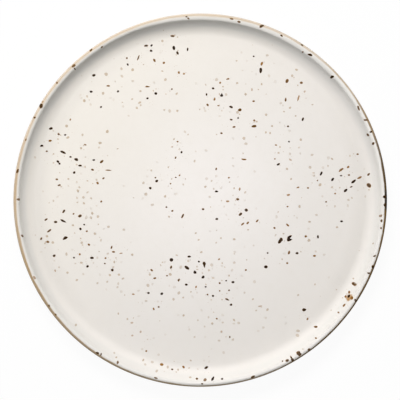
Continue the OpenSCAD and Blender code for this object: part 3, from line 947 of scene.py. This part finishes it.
# The thin side faces the light and the thick side turns from it, so the stain there is partly painted
# light and painted shade.
LIT_THIN_SIDE = Vector((-0.34, 0.94, 0))
SHADED_THICK_SIDE = Vector((0.95, -0.31, 0))
TOASTED_SHADED_SIDE = Vector((0.985, 0.174, 0))
BURNT_SIDE = Vector((1, 0, 0))
HONEY = (0.490, 0.345, 0.200, 1)
SHADED_UMBER = (0.215, 0.125, 0.040, 1)
BURNT_AND_SHADED = (0.020, 0.012, 0.006, 1)
SHADED_THICK_WANDER, THICKENS_IN_SHADE = (30, 0.2), (0.5, 0.85)
TOASTS_IN_SHADE, BURNS = (0.975, 0.997, 0, 0.5), (0.9978, 0.9994)
LIT_THIN_WANDER, FADES_WHERE_LIT = (40, 0.5), (-0.2, 0.9, 0.92, 0.45)
DEEPENS_IN_SHADE = (0.5, 0.9, 0, 0.07)


def stain_colour(tree, where, to_shaded_thick, to_toasted_shaded):
    """Honey where the iron is thin, umber where it is thick, and darker where toasted and where burnt;
    umber and toast are partly painted shade.
    """
    shaded_thick = wander(tree, to_shaded_thick, where, *SHADED_THICK_WANDER)
    # Partly painted shade: umber and toast darken the stain away from the light.
    stain = mix(tree, ease(tree, shaded_thick, *THICKENS_IN_SHADE), HONEY, SHADED_UMBER)
    stain = mix(tree, ease(tree, to_toasted_shaded, *TOASTS_IN_SHADE), stain, BURNT_AND_SHADED)
    return mix(tree, ease(tree, toward_side(tree, where, BURNT_SIDE), *BURNS), stain, BURNT_AND_SHADED)


def stain_strength(tree, where, to_shaded_thick):
    """How far the stain covers the cream: less towards the light, and more away from it, partly as painted
    light and painted shade.
    """
    lit_thin = wander(tree, toward_side(tree, where, LIT_THIN_SIDE), where, *LIT_THIN_WANDER)
    # Partly painted light: the stain fades towards the light.
    return calc(tree, "ADD", ease(tree, lit_thin, *FADES_WHERE_LIT), ease(tree, to_shaded_thick, *DEEPENS_IN_SHADE))


# %% Edges of the stain
STAIN_DROP = 2.2 * MM
band_edge = lip_r * math.cos(band_turn)
NARROWS = (-0.95, 0.9, 1.35 * MM, -0.5 * MM)
WIDENS_WHERE_THICK_SHADED = (0.78, 0.95, 0, 0.5 * MM)
WIDENS_WHERE_TOASTED_SHADED = (0.9, 0.985, 0, 0.65 * MM)
INNER_WANDER, INNER_EDGE = (80, 0.7 * MM), (band_edge - 0.5 * MM, band_edge + 0.4 * MM)
LOWER_WANDER, LOWER_EDGE = (60, 0.9 * MM), (-STAIN_DROP - 0.5 * MM, -STAIN_DROP + 0.5 * MM)


def from_lip(tree, where, direction):
    """How far a point of the section lies from the lip's middle, along a direction."""
    section = {"X": from_axis(tree, where), "Z": height_of(tree, where)}
    away = on_vectors(tree, "SUBTRACT", add(tree, "CombineXYZ", section).outputs[0], lip_mid)
    return on_vectors(tree, "DOT_PRODUCT", away, direction)


def stain_shift(tree, to_wide, to_shaded_thick, to_toasted_shaded):
    """How far outward the stain's inner edge moves from where the band begins."""
    shift = ease(tree, to_wide, *NARROWS)
    shift = calc(tree, "SUBTRACT", shift, ease(tree, to_shaded_thick, *WIDENS_WHERE_THICK_SHADED))
    return calc(tree, "SUBTRACT", shift, ease(tree, to_toasted_shaded, *WIDENS_WHERE_TOASTED_SHADED))


print("the band begins", round(-band_edge / MM, 2), "mm inward of the lip's middle")

# %% Cream and stain together
# The crest's colour is painted light.
CREST_PAINTED_LIGHT = (0.930, 0.900, 0.860, 1)
AMBER = (0.420, 0.255, 0.090, 1)
CREST_RISES, BRIGHTENS = (-2.6 * MM, -1.2 * MM), (-0.6, 0.2, 0.8, 0)
THINS = (-2.0 * MM, -0.4 * MM, 0, 0.3)
LINE_WANDER, LINE = (60, 0.35 * MM), (0.1 * MM, 0.5 * MM, 0.5, 0)
LINE_BEGINS = (0.1, 0.5)


def with_stain(tree, where, colour):
    """The cream with the painted light on the crest, the stain and the amber line of the lip."""
    to_wide = toward_side(tree, where, WIDE_SIDE)
    to_shaded_thick = toward_side(tree, where, SHADED_THICK_SIDE)
    to_toasted_shaded = toward_side(tree, where, TOASTED_SHADED_SIDE)
    out = from_lip(tree, where, off_wall)
    along = from_lip(tree, where, up_wall)
    across = calc(tree, "SUBTRACT", out, stain_shift(tree, to_wide, to_shaded_thick, to_toasted_shaded))
    # Painted light: the crest at the front right, turned from the light, is brightened.
    crest_light = times(tree, ease(tree, out, *CREST_RISES), ease(tree, to_wide, *BRIGHTENS))
    colour = mix(tree, crest_light, colour, CREST_PAINTED_LIGHT)
    colour = mix(tree, ease(tree, across, *THINS), colour, CREAM_THIN)
    inner = ease(tree, wander(tree, across, where, *INNER_WANDER), *INNER_EDGE)
    lower = ease(tree, wander(tree, along, where, *LOWER_WANDER), *LOWER_EDGE)
    share = times(tree, inner, lower, stain_strength(tree, where, to_shaded_thick))
    colour = mix(tree, share, colour, stain_colour(tree, where, to_shaded_thick, to_toasted_shaded))
    off_line = calc(tree, "ABSOLUTE", wander(tree, out, where, *LINE_WANDER), 0)
    line = times(tree, ease(tree, off_line, *LINE), ease(tree, to_wide, *LINE_BEGINS))
    return mix(tree, line, colour, AMBER)


def glaze_colour(tree, where):
    """The colour of the glaze anywhere on the platter."""
    cream = wall_cream(tree, where, floor_cream(tree, where))
    return with_stain(tree, where, with_blot(tree, where, cream))


# %% [markdown]
# ## The skin of the glaze
#
# Fired glaze is satin, not a mirror. Its surface swells very slightly over centimetres, has a
# fine orange peel, and here and there a pinhole where a bubble burst. The swell and the peel
# are noise, and the pinholes are the middles of a few Voronoi cells. All three go through bump
# nodes, and their depths are those of the real thing, in metres.

# %% Bump and gloss
SWELL, SWELL_DEPTH = (45, 1), 0.08 * MM
PEEL, PEEL_DEPTH = (650, 2), 0.006 * MM
PIT_CELLS, PIT_EDGE, PIT_DEPTH = 150, (0.015, 0.045), 0.04 * MM
SATIN_PATCHES, SATIN = (35, 3), (0.3, 0.7, 0.52, 0.64)


def glaze_bump(tree, where):
    """The normal of a glazed surface."""
    swell = bump(tree, mottle(tree, where, *SWELL), SWELL_DEPTH)
    peel = bump(tree, mottle(tree, where, *PEEL), PEEL_DEPTH, swell)
    cells = add(tree, "TexVoronoi", {"Vector": where, "Scale": PIT_CELLS})
    return bump(tree, ease(tree, cells.outputs["Distance"], *PIT_EDGE), PIT_DEPTH, peel)


def set_glaze(tree, shader, where, colour):
    """A glazed surface of this colour."""
    roughness = ease(tree, mottle(tree, where, *SATIN_PATCHES), *SATIN)
    set_surface(tree, shader, colour, roughness, glaze_bump(tree, where))


# %% Glaze of the face, with its dust
TAN = (0.42, 0.29, 0.17, 1)
DUST_CELLS, DUST_PICKED, DUST_DOT, DUST_COVER = 420, (0.5, 0.8), (0.1, 0.2, 1, 0), 0.5
finish, tree, shader, where = new_finish("cream_face_glaze")
cells = add(tree, "TexVoronoi", {"Vector": where, "Scale": DUST_CELLS}).outputs
chance = add(tree, "SeparateColor", {0: cells["Color"]}).outputs[0]
dots = times(tree, ease(tree, cells["Distance"], *DUST_DOT), ease(tree, chance, *DUST_PICKED))
crowd = add(tree, "Attribute", attribute_name="dust").outputs["Fac"]
dusty = times(tree, dots, crowd, DUST_COVER)
set_glaze(tree, shader, where, mix(tree, dusty, glaze_colour(tree, where), TAN))
face_coat.data.materials.append(finish)
print(finish.name, len(tree.nodes), "nodes")

# %% Glaze of the band, the back and the base
STAIN_GLOSS, GLAZE_GLOSS = 0.06, 0.5
for coat, name, gloss in (
    (band, "brown_lip_stain", STAIN_GLOSS),
    (back_coat, "cream_back_glaze", GLAZE_GLOSS),
    (base_coat, "cream_base_glaze", GLAZE_GLOSS),
):
    finish, tree, shader, where = new_finish(name)
    set_glaze(tree, shader, where, glaze_colour(tree, where))
    shader.inputs["Specular IOR Level"].default_value = gloss
    coat.data.materials.append(finish)
    print(finish.name, len(tree.nodes), "nodes")

# %% [markdown]
# ## The flecks' finish
#
# A fleck is darkest in its core, rusty round it, and fades into the glaze at its rim. The tone
# painted on its vertices runs from 0 at the rim to 1 at the core. A fine noise frays it, one
# soft step sets how far the fleck covers the glaze, and a second one sets how far its iron has
# melted to black. A fleck with little iron covers less. At the rim the colour is the glaze's
# own, so no outline shows. The sunk flecks are seen through glaze, which turns rust to ochre.

# %% Finish of any fleck
BLACK = (0.015, 0.006, 0.0025, 1)
RUST = (0.370, 0.160, 0.008, 1)
OCHRE = (0.350, 0.180, 0.020, 1)
FRAY_WANDER, MELT_WANDER = (1500, 0.22), (600, 0.4)
FLECK_GLOSS = 0.05


def fleck_finish(name, rust, covers, melts, strength, pale=1.0, full=1.0):
    """Rust that covers and melts between these tones, paler where iron is short of full."""
    finish, tree, shader, where = new_finish(name)
    tone = add(tree, "Attribute", attribute_name="tone").outputs["Fac"]
    iron = add(tree, "Attribute", attribute_name="iron").outputs["Fac"]
    frayed = wander(tree, tone, where, *FRAY_WANDER)
    molten = ease(tree, wander(tree, frayed, where, *MELT_WANDER), *melts)
    cover = times(tree, ease(tree, frayed, *covers, 0, strength), ease(tree, iron, 0, full, pale, 1))
    own_colour = mix(tree, times(tree, molten, iron), rust, BLACK)
    set_glaze(tree, shader, where, mix(tree, cover, glaze_colour(tree, where), own_colour))
    shader.inputs["Specular IOR Level"].default_value = FLECK_GLOSS
    print(finish.name, len(tree.nodes), "nodes")
    return finish


# %% Finishes of the four kinds
flecks["black_flecks"].data.materials.append(
    fleck_finish("melted_black_iron", RUST, covers=(0.1, 0.4), melts=(0.2, 0.6), strength=0.99)
)
flecks["brown_flecks"].data.materials.append(
    fleck_finish(
        "rust_brown_iron", RUST, covers=(0.05, 0.5), melts=(0.45, 1.0), strength=0.96,
        pale=0.4, full=0.3,
    )
)
flecks["lip_flecks"].data.materials.append(
    fleck_finish("lip_dark_iron", RUST, covers=(0.3, 0.7), melts=(0.5, 0.9), strength=1.0, pale=0.6)
)
faint_flecks.data.materials.append(
    fleck_finish(
        "faint_sunk_iron", OCHRE, covers=(0.1, 0.9), melts=(0.9, 3.0), strength=0.52, pale=0.15
    )
)

# %% [markdown]
# ## Bare clay
#
# The foot's standing face is unglazed stoneware: matt, sandy, and toasted to a darker line next
# to the glaze. Two sizes of noise give the sand its colour and its roughness to the touch, and
# the height above the standing face gives the toasted line.

# %% Finish of the clay
SAND = (0.560, 0.430, 0.300, 1)
GROG = (0.360, 0.250, 0.160, 1)
TOAST = (0.300, 0.165, 0.080, 1)
GRAINS, GRAINED = (900, 4), (0.45, 0.7)
TOAST_WANDER, TOASTED = (120, 0.2 * MM), (0.55 * MM, 0.95 * MM, 0, 0.85)
MATT_PATCHES, MATT = (700, 3), (0.3, 0.7, 0.75, 0.95)
GRIT, GRIT_DEPTH = (1400, 4), 0.05 * MM
finish, tree, shader, where = new_finish("bare_stoneware")
sand = mix(tree, ease(tree, mottle(tree, where, *GRAINS), *GRAINED), SAND, GROG)
rise = wander(tree, height_of(tree, where), where, *TOAST_WANDER)
colour = mix(tree, ease(tree, rise, *TOASTED), sand, TOAST)
roughness = ease(tree, mottle(tree, where, *MATT_PATCHES), *MATT)
set_surface(tree, shader, colour, roughness, bump(tree, mottle(tree, where, *GRIT), GRIT_DEPTH))
clay.data.materials.append(finish)
print(finish.name, len(tree.nodes), "nodes")

# %% [markdown]
# ## Camera
#
# The photograph looks almost straight down through a long lens: the lip is a circle, and its
# inner wall shows equally wide all round. So the camera stands 8 m off, its lens is worked out
# from the width that the image has to show, and the lip's middle is in the middle of the image,
# apart from a fifth of a pixel to the right.

# %% Place the camera
CAMERA_RISE = math.radians(88)
CAMERA_AWAY = 8
IMAGE_SIDE, PLATE_SPAN = 400, 373.6
PLATE_RIGHT = 0.2
aim = Vector((0, 0, lip_mid.z))
toward = Vector((0, math.cos(CAMERA_RISE), -math.sin(CAMERA_RISE)))
camera = bpy.data.objects.new("camera", bpy.data.cameras.new("camera"))
camera.location = aim - CAMERA_AWAY * toward
camera.rotation_euler = toward.to_track_quat("-Z", "Y").to_euler()
shown = 2 * plate_r * IMAGE_SIDE / PLATE_SPAN
camera.location.x -= PLATE_RIGHT * shown / IMAGE_SIDE
camera.data.lens = camera.data.sensor_width * CAMERA_AWAY / shown
bpy.context.scene.collection.objects.link(camera)
bpy.context.scene.camera = camera
print("lens", round(camera.data.lens), "mm, image", round(shown / MM, 1), "mm wide")

# %% [markdown]
# ## Light and floor
#
# One large soft box stands behind the platter, a little to the left, so the wall nearest it is
# in its own shade and the far wall is bright, as in the photograph. A white card at the left
# throws a little light back, and a pale room fills the shade. The room and the floor are white
# to the camera, and the floor keeps the platter's soft shadow.

# %% Two soft lights
def soft_light(name, shape, wide, tall, energy, place):
    """An area light that faces the platter."""
    light = bpy.data.objects.new(name, bpy.data.lights.new(name, "AREA"))
    light.data.shape = shape
    light.data.size, light.data.size_y = wide, tall
    light.data.energy = energy
    light.location = place
    light.rotation_euler = (aim - light.location).to_track_quat("-Z", "Y").to_euler()
    bpy.context.scene.collection.objects.link(light)
    print(name, "at", [round(value, 2) for value in light.location])
    return light


BOX_TURN = math.radians(106)
BOX_RISE = math.radians(52)
BOX_AWAY = 1.8
flat_away = BOX_AWAY * math.cos(BOX_RISE)
box_place = Vector((
    flat_away * math.cos(BOX_TURN), flat_away * math.sin(BOX_TURN), BOX_AWAY * math.sin(BOX_RISE),
))
box = soft_light("soft_box", "ELLIPSE", wide=1.3, tall=0.7, energy=7.2, place=box_place)
box.data.spread = math.radians(80)
box.data.color = (1, 0.985, 0.97)
soft_light("white_card", "RECTANGLE", wide=0.5, tall=0.3, energy=0.6, place=(-0.6, 0.25, 0.3))

# %% The pale room
ROOM_LIGHT = 0.2
ROOM_COLOUR = (0.9, 0.96, 1, 1)
WHITE = (1, 1, 1, 1)


def seen_directly(tree):
    """1 for rays from the camera, and for those that a mirror or a glass sends on."""
    path = add(tree, "LightPath").outputs
    seen = calc(tree, "MAXIMUM", path["Is Camera Ray"], path["Is Glossy Ray"])
    return calc(tree, "MAXIMUM", seen, path["Is Transmission Ray"])


room = bpy.data.worlds.new("pale_room")
room.use_nodes = True
tree = room.node_tree
backdrop = tree.nodes["Background"]
seen = seen_directly(tree)
tree.links.new(mix(tree, seen, ROOM_COLOUR, WHITE), backdrop.inputs["Color"])
tree.links.new(ease(tree, seen, 0, 1, ROOM_LIGHT, 1), backdrop.inputs["Strength"])
bpy.context.scene.world = room
print("room light", ROOM_LIGHT)

# %% The floor
FLOOR_HALF = 3
FLOOR_PAINT = (0.9, 0.9, 0.9, 1)
FLOOR_ROUGH = 0.9
FLOOR_WHITE = 0.95
bm = bmesh.new()
bmesh.ops.create_grid(bm, x_segments=1, y_segments=1, size=FLOOR_HALF)
mesh = bpy.data.meshes.new("floor")
bm.to_mesh(mesh)
bm.free()
floor = bpy.data.objects.new("floor", mesh)
bpy.context.scene.collection.objects.link(floor)
floor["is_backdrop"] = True
paint = bpy.data.materials.new("white_floor")
paint.use_nodes = True
tree = paint.node_tree
matt = tree.nodes["Principled BSDF"]
matt.inputs["Base Color"].default_value = FLOOR_PAINT
matt.inputs["Roughness"].default_value = FLOOR_ROUGH
white = add(tree, "Emission", {"Color": WHITE, "Strength": 1.0})
share = calc(tree, "MULTIPLY", seen_directly(tree), FLOOR_WHITE)
both = add(tree, "MixShader", {0: share, 1: matt.outputs[0], 2: white.outputs[0]})
tree.links.new(both.outputs[0], tree.nodes["Material Output"].inputs["Surface"])
mesh.materials.append(paint)
print("floor", floor.dimensions[:])

# %% [markdown]
# ## Hand over
#
# The picture is shown as it is, with no film look.

# %% View, sizes and finish
bpy.context.scene.view_settings.view_transform = "Standard"
bpy.context.view_layer.update()
low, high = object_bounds()
